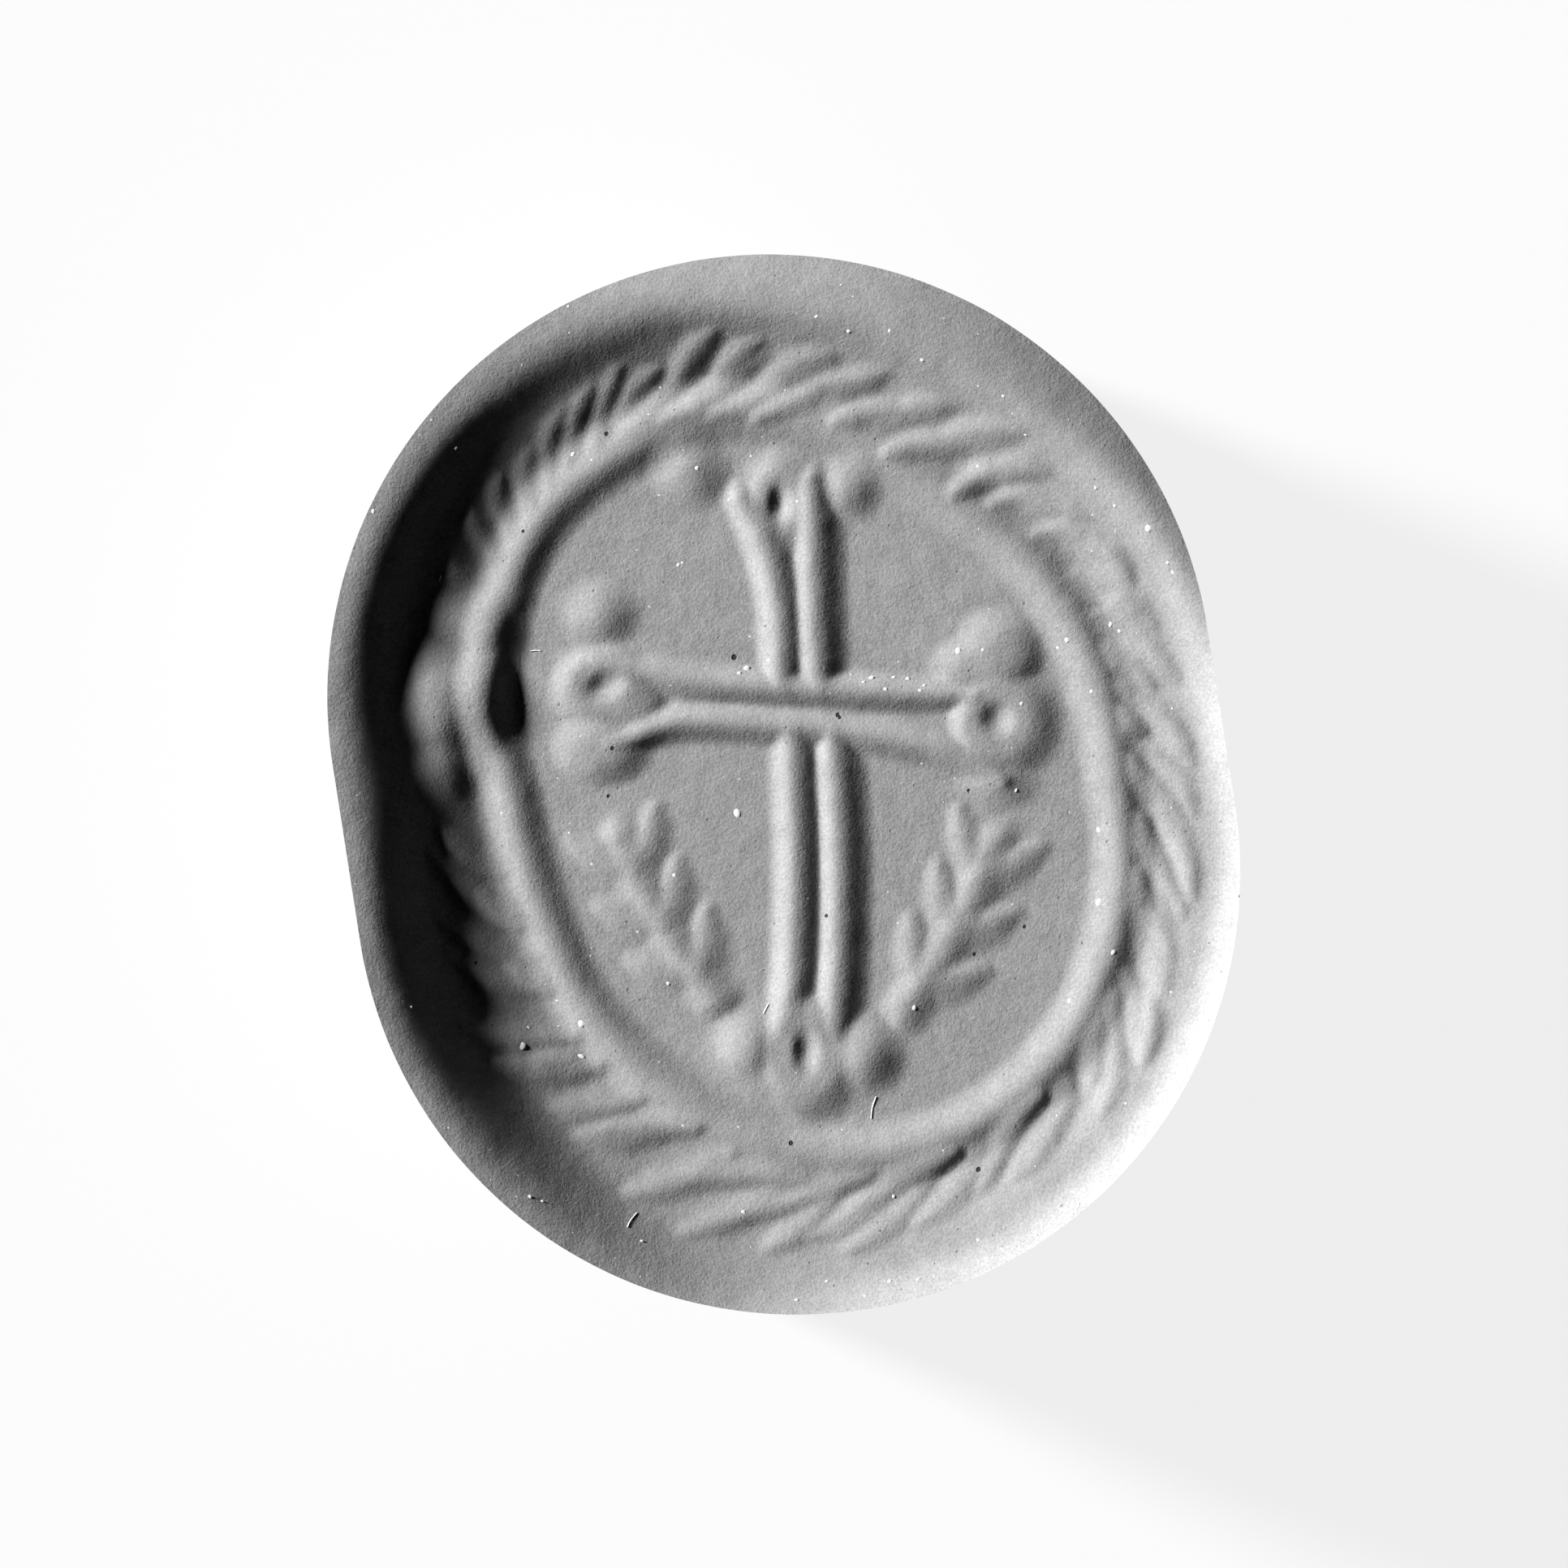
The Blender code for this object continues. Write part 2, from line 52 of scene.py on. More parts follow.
class Material:
    """A node material that is written as Python expressions."""

    def __init__(self, name: str) -> None:
        """Makes the material and keeps its shader.

        Args:
            name: Name of the material.
        """
        self.data = bpy.data.materials.new(name)
        self.data.use_nodes = True
        self.tree = self.data.node_tree
        self.shader = self.tree.nodes["Principled BSDF"]

    def node(self, kind: str, settings: dict | None = None, **values: object) -> bpy.types.Node:
        """Adds one node.

        Args:
            kind: Type of the node.
            settings: Its properties, such as an operation.
            values: What its inputs hold, by name, with _ for a space, or in0, in1 by number.

        Returns:
            The new node.
        """
        made = self.tree.nodes.new(kind)
        for key, setting in (settings or {}).items():
            setattr(made, key, setting)
        for key, value in values.items():
            number = key[2:]
            socket = made.inputs[int(number)] if number.isdigit() else made.inputs[key.replace("_", " ")]
            self.feed(socket, value)
        return made

    def feed(self, socket: bpy.types.NodeSocket, value: object) -> None:
        """Links a wire to a socket, or sets the socket's own value.

        Args:
            socket: The input.
            value: A Wire, a number or a colour.
        """
        if isinstance(value, Wire):
            self.tree.links.new(value.socket, socket)
        else:
            socket.default_value = value

    def wire(self, node: bpy.types.Node, output: str | int = 0) -> "Wire":
        """Wire from one output of a node."""
        return Wire(self, node.outputs[output])

    def position(self) -> "Wire":
        """Wire that holds the place on the object, in millimetres."""
        place = self.wire(self.node("ShaderNodeTexCoord"), "Object")
        return self.wire(self.node("ShaderNodeVectorMath", {"operation": "SCALE"}, in0=place, Scale=1 / MM))

    def noise(self, place: "Wire", size: float, detail: float = 2.0, rough: float = 0.5) -> "Wire":
        """Smooth noise from 0 to 1.

        Args:
            place: Where it is read.
            size: Rough size of one blotch in millimetres.
            detail: Number of finer layers.
            rough: Strength of the finer layers.

        Returns:
            The noise.
        """
        made = self.node("ShaderNodeTexNoise", Vector=place, Scale=1 / size, Detail=detail, Roughness=rough)
        return self.wire(made, "Fac")

    def dots(self, place: "Wire", kind: "Dots", share: object) -> "Wire":
        """Mask of scattered round dots.

        Args:
            place: Where it is read.
            kind: Their spacing and size.
            share: Share of the cells that hold a dot.

        Returns:
            1 on a dot and 0 elsewhere.
        """
        cells = self.node("ShaderNodeTexVoronoi", Vector=place, Scale=1 / kind.spacing)
        tint = self.node("ShaderNodeSeparateColor", Color=self.wire(cells, "Color"))
        held = self.wire(tint, "Red").under(share)
        share_of_largest = self.wire(tint, "Green") * (1.0 - kind.least) + kind.least
        reach = share_of_largest * (kind.radius / kind.spacing)
        return held * self.wire(cells, "Distance").fade(reach, reach * kind.core)

    def spot(self, place: "Wire", x: float, y: float, radius: float, core: float = 0.6) -> "Wire":
        """Mask of one round mark, seen from above.

        Args:
            place: Where it is read.
            x: Its place across, in millimetres.
            y: Its place along, in millimetres.
            radius: Its radius in millimetres.
            core: Share of the radius inside its soft edge.

        Returns:
            1 on the mark and 0 elsewhere.
        """
        flat = self.node("ShaderNodeVectorMath", {"operation": "MULTIPLY"}, in0=place, in1=(1.0, 1.0, 0.0))
        away = self.node("ShaderNodeVectorMath", {"operation": "DISTANCE"},
                         in0=self.wire(flat), in1=(x, y, 0.0))
        return self.wire(away, "Value").fade(radius, radius * core)

    def blend(self, share: object, below: object, above: object) -> "Wire":
        """Mixes two colours.

        Args:
            share: Share of the second colour.
            below: The first colour.
            above: The second colour.

        Returns:
            The mixed colour.
        """
        made = self.node("ShaderNodeMix", {"data_type": "RGBA"}, in0=share, in6=below, in7=above)
        return self.wire(made, 2)


@dataclass(frozen=True)
class Wire:
    """One output socket, with maths on it written as Python."""

    owner: Material
    socket: bpy.types.NodeSocket

    def maths(self, operation: str, first: object, second: object) -> "Wire":
        """Adds one Math node.

        Args:
            operation: Its operation.
            first: First value.
            second: Second value.

        Returns:
            The result.
        """
        made = self.owner.node("ShaderNodeMath", {"operation": operation}, in0=first, in1=second)
        return self.owner.wire(made)

    def __add__(self, other: object) -> "Wire":
        """Sum."""
        return self.maths("ADD", self, other)

    def __radd__(self, other: object) -> "Wire":
        """Sum, reflected."""
        return self.maths("ADD", other, self)

    def __sub__(self, other: object) -> "Wire":
        """Difference."""
        return self.maths("SUBTRACT", self, other)

    def __mul__(self, other: object) -> "Wire":
        """Product."""
        return self.maths("MULTIPLY", self, other)

    def __rmul__(self, other: object) -> "Wire":
        """Product, reflected."""
        return self.maths("MULTIPLY", other, self)

    def under(self, limit: object) -> "Wire":
        """1 where the value is below a limit, and 0 elsewhere."""
        return self.maths("LESS_THAN", self, limit)

    def fade(self, start: object, end: object) -> "Wire":
        """0 at one value and 1 at another, with a soft step between them.

        Args:
            start: The value that gives 0.
            end: The value that gives 1.

        Returns:
            The share, from 0 to 1.
        """
        made = self.owner.node("ShaderNodeMapRange", {"interpolation_type": "SMOOTHSTEP"},
                               Value=self, From_Min=start, From_Max=end)
        return self.owner.wire(made)


def grey(level: float) -> tuple[float, float, float, float]:
    """Opaque grey of one level."""
    return (level, level, level, 1.0)


@dataclass(frozen=True)
class Dots:
    """Scattered round dots, one in a share of the cells of a given width.

    Lengths are in millimetres. The smallest dot is given as a share of the largest radius, and
    the core inside a dot's soft edge as a share of its own.
    """

    spacing: float
    radius: float
    share: float
    least: float = 0.35
    core: float = 0.7


@dataclass(frozen=True)
class Compound:
    """Matt pale grey sealing compound: fine grain, faint clouds, pits and white dust.

    Grain, mottle and clouds are sizes of a blotch, each with its contrast. Cover is how much of
    the grey below a dot is hidden, by the painted shade of a pit or hole or by white dust, and relief
    is a height as a share of the grain's. Dust lies thicker above dusty_level, and marks are single
    holes by place and radius, painted dark as the shade inside them. Lengths are in millimetres, but
    for grain_depth, which is in metres.
    """

    name: str
    colour: float = 0.36
    # Pit and hole colours are painted shade: dark tones that stand for the shade inside small pits and
    # holes.
    pit_shade_colour: float = 0.126
    hole_shade_colour: float = 0.02
    dust_colour: float = 0.86
    grain: float = 0.07
    grain_contrast: float = 0.95
    grain_depth: float = 0.000011
    mottle: float = 0.6
    mottle_contrast: float = 0.35
    mottle_relief: float = 1.6
    clouds: float = 4.0
    clouds_contrast: float = 0.20
    roughness: float = 0.9
    gloss: float = 0.0
    pits: Dots = Dots(0.28, 0.04, 0.45)
    pit_shade_cover: float = 0.6
    pit_relief: float = 1.0
    holes: Dots = Dots(1.1, 0.07, 0.2)
    hole_shade_cover: float = 0.9
    hole_relief: float = 3.0
    dust: Dots = Dots(0.28, 0.04, 0.15)
    dust_relief: float = 1.2
    dusty_share: float = 0.75
    dusty_level: float = 6.7
    dusty_rise: float = 0.4
    marks: tuple[tuple[float, float, float], ...] = ()

    def material(self) -> bpy.types.Material:
        """Builds the node material."""
        made = Material(self.name)
        place = made.position()
        level = made.wire(made.node("ShaderNodeSeparateXYZ", Vector=place), "Z")
        grain = made.noise(place, self.grain, 3.0, 0.7) - 0.5
        mottle = made.noise(place, self.mottle, 3.0, 0.6) - 0.5
        clouds = made.noise(place, self.clouds, 2.0) - 0.5
        pits = made.dots(place, self.pits, self.pits.share)
        holes = made.dots(place, self.holes, self.holes.share)
        high = level.fade(self.dusty_level, self.dusty_level + self.dusty_rise)
        dust = made.dots(place, self.dust, self.dust.share + self.dusty_share * high)
        shade = self.colour * (1.0 + self.grain_contrast * grain + self.mottle_contrast * mottle
                               + self.clouds_contrast * clouds)
        body = made.node("ShaderNodeCombineColor", Red=shade, Green=shade, Blue=shade)
        for x, y, radius in self.marks:
            holes = holes + made.spot(place, x, y, radius)
        # Painted shade: pits and holes are darkened in the colour to stand for the shade inside them.
        pit_shaded = made.blend(pits * self.pit_shade_cover, made.wire(body), grey(self.pit_shade_colour))
        hole_shaded = made.blend(holes * self.hole_shade_cover, pit_shaded, grey(self.hole_shade_colour))
        made.feed(made.shader.inputs["Base Color"], made.blend(dust, hole_shaded, grey(self.dust_colour)))
        made.feed(made.shader.inputs["Roughness"], self.roughness)
        made.feed(made.shader.inputs["Specular IOR Level"], self.gloss)
        height = (grain + mottle * self.mottle_relief - pits * self.pit_relief
                  - holes * self.hole_relief + dust * self.dust_relief)
        bump = made.node("ShaderNodeBump", Strength=1.0, Distance=self.grain_depth, Height=height)
        made.feed(made.shader.inputs["Normal"], made.wire(bump))
        return made.data


@dataclass(frozen=True)
class WhiteDust:
    """White crumbs and fibres of dust, with a faint mottle of a size in millimetres."""

    name: str = "white_dust"
    colour: float = 0.88
    darkest: float = 0.9
    contrast: float = 0.2
    mottle: float = 0.08
    roughness: float = 0.7

    def material(self) -> bpy.types.Material:
        """Builds the node material."""
        made = Material(self.name)
        tone = self.colour * (self.darkest + self.contrast * made.noise(made.position(), self.mottle))
        body = made.node("ShaderNodeCombineColor", Red=tone, Green=tone, Blue=tone)
        made.feed(made.shader.inputs["Base Color"], made.wire(body))
        made.feed(made.shader.inputs["Roughness"], self.roughness)
        return made.data


class Bench:
    """Shared moves of the modelling, with units of a millimetre until a piece is finished."""

    smooth_angle: float = math.radians(50.0)

    @staticmethod
    def clear() -> None:
        """Leaves edit mode and deselects everything."""
        if bpy.context.object and bpy.context.object.mode != "OBJECT":
            bpy.ops.object.mode_set(mode="OBJECT")
        bpy.ops.object.select_all(action="DESELECT")

    @classmethod
    def take(cls, piece: bpy.types.Object) -> None:
        """Selects one piece alone and makes it active."""
        cls.clear()
        piece.select_set(True)
        bpy.context.view_layer.objects.active = piece

    @classmethod
    def modify(cls, piece: bpy.types.Object, kind: str, **settings: object) -> None:
        """Adds a modifier and applies it.

        Args:
            piece: The piece to change.
            kind: Type of the modifier.
            settings: The modifier's settings.
        """
        cls.take(piece)
        bpy.ops.object.modifier_add(type=kind)
        modifier = piece.modifiers[-1]
        for key, value in settings.items():
            setattr(modifier, key, value)
        bpy.ops.object.modifier_apply(modifier=modifier.name)

    @classmethod
    def join(cls, pieces: list[bpy.types.Object]) -> bpy.types.Object:
        """Joins meshes into the first of them."""
        cls.clear()
        for piece in pieces:
            piece.select_set(True)
        bpy.context.view_layer.objects.active = pieces[0]
        bpy.ops.object.join()
        return pieces[0]

    @classmethod
    def roughen(cls, piece: bpy.types.Object, size: float, depth: float) -> None:
        """Pushes a piece's surface in and out by soft noise.

        Args:
            piece: The piece to change.
            size: Rough size of one lump in millimetres.
            depth: Height from the lowest to the highest place in millimetres.
        """
        lumps = bpy.data.textures.new("lumps", "CLOUDS")
        lumps.noise_scale = size
        lumps.noise_depth = 2
        cls.modify(piece, "DISPLACE", texture=lumps, strength=depth, mid_level=0.5, texture_coords="LOCAL")

    @classmethod
    def finish(cls, piece: bpy.types.Object, name: str, material: bpy.types.Material, slot: str) -> None:
        """Takes a piece from millimetres to metres, names it and dresses it.

        Args:
            piece: The finished mesh.
            name: Name of the piece.
            material: Its material.
            slot: The record's material slot; not used.
        """
        cls.take(piece)
        piece.scale = (MM, MM, MM)
        bpy.ops.object.transform_apply(location=True, rotation=True, scale=True)
        bpy.ops.object.shade_smooth_by_angle(angle=cls.smooth_angle)
        piece.name = name
        piece.data.name = name
        piece.data.materials.clear()
        piece.data.materials.append(material)
        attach(piece, "root")
        LOG.info("%s: %d faces", name, len(piece.data.polygons))


def bell(share: np.ndarray) -> np.ndarray:
    """Bell section: 1 in the middle, 0 at a share of 1 and beyond it."""
    return np.cos(np.clip(share, 0.0, 1.0) * math.pi / 2) ** 2


@dataclass(frozen=True)
class Shape:
    """The rings and levels of the seal, in millimetres, shared by all its pieces.

    The outline is the hull of two discs, shifted each way from the origin, and the centre is that
    of the rings. The tuples run round the seal from +X to +Y: the band's radii every 15 degrees,
    and every 30 degrees the widths and heights of the slope and the rim, the rim's fall to the
    outline and the wall's bend, which is 1 for a hollow wall and 0 for a rounded shoulder.
    """

    lobe_radius: float = 10.88
    lobe_shift: Vector = field(default_factory=lambda: Vector((-0.34, 2.16)))
    centre: Vector = field(default_factory=lambda: Vector((0.54, 0.0)))
    back_top: float = 3.48
    seam: float = 3.62
    field_level: float = 6.0
    band_height: float = 0.17
    band_half_width: float = 0.95
    band_edge: float = 0.8
    least_slope: float = 0.3
    softness: float = 0.6
    shoulder_power: float = 1.1
    hollow_power: float = 2.6
    fall_power: float = 1.6
    rise_power: float = 1.5
    channel_radius: float = 1.2
    channel_level: float = 3.55
    halvings: int = 36
    band_radii: tuple[float, ...] = (
        7.66, 7.60, 7.66, 7.78, 7.86, 8.24, 8.88, 9.46, 9.40, 9.26, 8.68, 8.10,
        7.36, 7.20, 7.32, 7.72, 8.10, 8.52, 9.10, 9.34, 9.32, 9.06, 8.56, 8.08,
    )
    slope_widths: tuple[float, ...] = (2.0, 1.7, 2.0, 1.5, 1.5, 1.75, 1.35, 1.9, 2.2, 2.6, 2.0, 1.7)
    slope_rises: tuple[float, ...] = (
        0.22, 0.22, 0.23, 0.20, 0.22, 0.23, 0.17, 0.19, 0.23, 0.25, 0.30, 0.27,
    )
    rim_rises: tuple[float, ...] = (
        0.74, 0.60, 0.55, 0.53, 0.64, 0.80, 1.00, 1.26, 1.32, 0.92, 1.02, 0.98,
    )
    rim_widths: tuple[float, ...] = (
        -0.10, 0.45, 1.40, 1.45, 0.50, 0.22, 0.04, -0.10, -0.08, -0.08, -0.12, -0.12,
    )
    rim_falls: tuple[float, ...] = (
        0.0, 0.05, 0.40, 0.34, 0.02, 0.0, 0.0, 0.0, 0.0, 0.0, 0.0, 0.0,
    )
    wall_bends: tuple[float, ...] = (1.0, 0.8, 0.4, 0.2, 0.0, 0.0, 0.0, 0.0, 0.1, 0.7, 1.0, 1.0)

    @staticmethod
    def around(values: tuple[float, ...], azimuth: float) -> float:
        """Smooth closed curve through evenly spaced values.

        Args:
            values: The values, from azimuth 0 all the way round.
            azimuth: Where the curve is read, in degrees.

        Returns:
            The value there.
        """
        count = len(values)
        place = (azimuth % 360.0) / 360.0 * count
        index = int(place)
        part = place - index
        before, here, after, beyond = (values[(index + step) % count] for step in (-1, 0, 1, 2))
        return 0.5 * (2 * here + (after - before) * part
                      + (2 * before - 5 * here + 4 * after - beyond) * part ** 2
                      + (3 * here - before - 3 * after + beyond) * part ** 3)

    def flat(self, azimuth: float, radius: float) -> Vector:
        """Point in the plane of the face, from its azimuth and its distance from the centre."""
        turn = math.radians(azimuth)
        return self.centre + Vector((math.cos(turn), math.sin(turn))) * radius

    def outline(self, azimuth: float) -> float:
        """Distance from the centre to the outline, found by halving."""
        near, far = 0.0, 3 * self.lobe_radius
        for _ in range(self.halvings):
            middle = (near + far) / 2
            point = self.flat(azimuth, middle)
            along = max(-1.0, min(1.0, point.dot(self.lobe_shift) / self.lobe_shift.length_squared))
            if (point - self.lobe_shift * along).length > self.lobe_radius:
                far = middle
            else:
                near = middle
        return near

    def wall_drop(self, azimuth: float, share: float) -> float:
        """How far down the wall has come, from 0 to 1.

        Args:
            azimuth: Where on the seal, in degrees.
            share: Share of the way from the crest of the rim to the foot of the wall.

        Returns:
            The share of the wall's height, on a rounded shoulder at the left and a hollow at the right.
        """
        bend = self.around(self.wall_bends, azimuth)
        soft = share ** self.shoulder_power
        rounded = soft ** 2 * (3 - 2 * soft)
        hollow = 1 - (1 - share) ** self.hollow_power
        return rounded + (hollow - rounded) * bend

    def profile(self, azimuth: float, steps: int) -> list[Point]:
        """Radius and height of each ring of the plain face, from the outline to the centre.

        Args:
            azimuth: Where on the seal, in degrees.
            steps: Number of rings.

        Returns:
            The rings' points.
        """
        edge, band = self.outline(azimuth), self.around(self.band_radii, azimuth)
        rim, fall = self.around(self.rim_rises, azimuth), self.around(self.rim_falls, azimuth)
        rise = self.around(self.slope_rises, azimuth)
        top = edge - self.around(self.rim_widths, azimuth)
        inner = band + self.band_half_width * self.band_edge
        foot = max(inner + self.least_slope, band + self.around(self.slope_widths, azimuth))
        radii = edge * (1.0 - np.arange(steps) / steps)
        heights = []
        for radius in radii:
            if radius > top:
                heights.append(rim - fall * ((radius - top) / (edge - top)) ** self.fall_power)
            elif radius > foot:
                heights.append(rim - (rim - rise) * self.wall_drop(azimuth, (top - radius) / (top - foot)))
            else:
                heights.append(rise * max(0.0, (radius - inner) / (foot - inner)) ** self.rise_power)
        reach = round(self.softness / edge * steps)
        soft = bell(np.abs(np.arange(-reach, reach + 1)) / (reach + 1))
        padded = np.pad(heights, reach, mode="reflect", reflect_type="odd")
        worn = np.convolve(padded, soft / soft.sum(), "valid")
        arch = self.band_height * bell(np.abs(radii - band) / self.band_half_width)
        return list(zip(radii, self.field_level + worn + arch))


class Taper(Enum):
    """Share of a stroke's full section along it, from its start to its end."""

    FULL = (1.0, 1.0)
    ARM = (0.8, 1.0, 1.0, 1.0, 1.0, 0.8)
    HEAD = (0.85, 1.0, 1.0, 1.0, 1.0, 0.75)
    LEAF = (0.6, 0.9, 1.0, 0.9, 0.5)
    LEAFLET = (0.9, 1.0, 0.9, 0.5)


def course(route: tuple[Point, ...], steps: int = 10) -> np.ndarray:
    """Smooth curve through a route's points.

    Args:
        route: The points, in order.
        steps: Points on each stretch of the curve.

    Returns:
        The curve's points, one a row.
    """
    points = np.array([route[0], *route, route[-1]])
    share = np.arange(steps)[:, None] / steps
    stretches = [
        0.5 * (2 * here + (after - before) * share
               + (2 * before - 5 * here + 4 * after - beyond) * share ** 2
               + (3 * here - before - 3 * after + beyond) * share ** 3)
        for before, here, after, beyond in zip(points, points[1:], points[2:], points[3:])
    ]
    return np.vstack([*stretches, points[-1:]])


@dataclass(frozen=True)
class Stroke:
    """A kind of raised stroke, in millimetres, with its own flank at each side of its course.

    The higher its crown, the more suddenly one flank turns into the other across its ends.
    """

    left: float
    right: float
    height: float
    taper: Taper
    crown: float = 3.0

    def raised(self, places: np.ndarray, route: tuple[Point, ...]) -> np.ndarray:
        """How far a stroke of this kind rises at some places.

        Args:
            places: The places seen from above, one a row.
            route: The stroke's route seen from above.

        Returns:
            The height at each place.
        """
        points = course(route)
        reach = max(self.left, self.right)
        near = np.all((places > points.min(axis=0) - reach) & (places < points.max(axis=0) + reach), axis=1)
        spots = places[near]
        nearest, side, place = (np.full(len(spots), level) for level in (1e6, 0.0, 0.0))
        for index, (start, end) in enumerate(zip(points, points[1:])):
            along = end - start
            share = np.clip((spots - start) @ along / (along @ along), 0.0, 1.0)
            away = spots - start - share[:, None] * along
            distance = np.maximum(np.linalg.norm(away, axis=1), 1e-6)
            closer = distance < nearest
            nearest[closer] = distance[closer]
            place[closer] = (index + share[closer]) / (len(points) - 1)
            turned = along[0] * away[closer, 1] - along[1] * away[closer, 0]
            turn = self.crown * turned / (np.linalg.norm(along) * distance[closer])
            side[closer] = np.clip(turn, -1.0, 1.0)
        part = np.interp(place, np.linspace(0.0, 1.0, len(self.taper.value)), self.taper.value)
        width = (self.right + (self.left - self.right) * (0.5 + 0.5 * side)) * part
        heights = np.zeros(len(places))
        heights[near] = self.height * part * bell(nearest / width)
        return heights


@dataclass
class Cake:
    """One of the two cakes of compound, made of rings round the centre."""

    shape: Shape
    finish: Compound
    facets: int = 192
    channel_facets: int = 48
    channel_length: float = 60.0

    def turned(self, rings: list[list[Point]]) -> bpy.types.Object:
        """Extrudes a cake ring by ring, from its underside to its top.

        Args:
            rings: Radius and height of each ring, for each step round it.

        Returns:
            The closed cake.
        """
        Bench.clear()
        bpy.ops.mesh.primitive_circle_add(vertices=self.facets, radius=1.0, fill_type="NGON",
                                          location=(*self.shape.centre, 0.0))
        cake = bpy.context.object
        bpy.ops.object.transform_apply(location=True)
        bpy.ops.object.mode_set(mode="EDIT")
        for level, ring in enumerate(rings):
            if level:
                bpy.ops.mesh.extrude_region_move()
            mesh = bmesh.from_edit_mesh(cake.data)
            for vertex in (v for v in mesh.verts if v.select):
                away = vertex.co.xy - self.shape.centre
                turn = round(math.degrees(math.atan2(away.y, away.x)) / 360.0 * self.facets)
                radius, height = ring[turn % self.facets]
                vertex.co = (*self.shape.flat(turn * 360.0 / self.facets, radius), height)
            bmesh.update_edit_mesh(cake.data)
        bpy.ops.mesh.select_all(action="SELECT")
        bpy.ops.mesh.normals_make_consistent(inside=False)
        bpy.ops.object.mode_set(mode="OBJECT")
        return cake

    def oval(self, levels: tuple[Point, ...]) -> bpy.types.Object:
        """Cake of plain ovals.

        Args:
            levels: How far each ring lies inside the outline, and its height.

        Returns:
            The closed cake.
        """
        return self.turned([
            [(self.shape.outline(360.0 * step / self.facets) - inset, height)
             for step in range(self.facets)]
            for inset, height in levels
        ])

    def cut_channel(self, piece: bpy.types.Object) -> None:
        """Cuts the cord's channel along the seam."""
        Bench.clear()
        bpy.ops.mesh.primitive_cylinder_add(
            vertices=self.channel_facets, radius=self.shape.channel_radius, depth=self.channel_length,
            location=(0.0, 0.0, self.shape.channel_level), rotation=(math.pi / 2, 0.0, 0.0))
        bar = bpy.context.object
        Bench.modify(piece, "BOOLEAN", operation="DIFFERENCE", object=bar, solver="EXACT")
        bpy.data.objects.remove(bar)


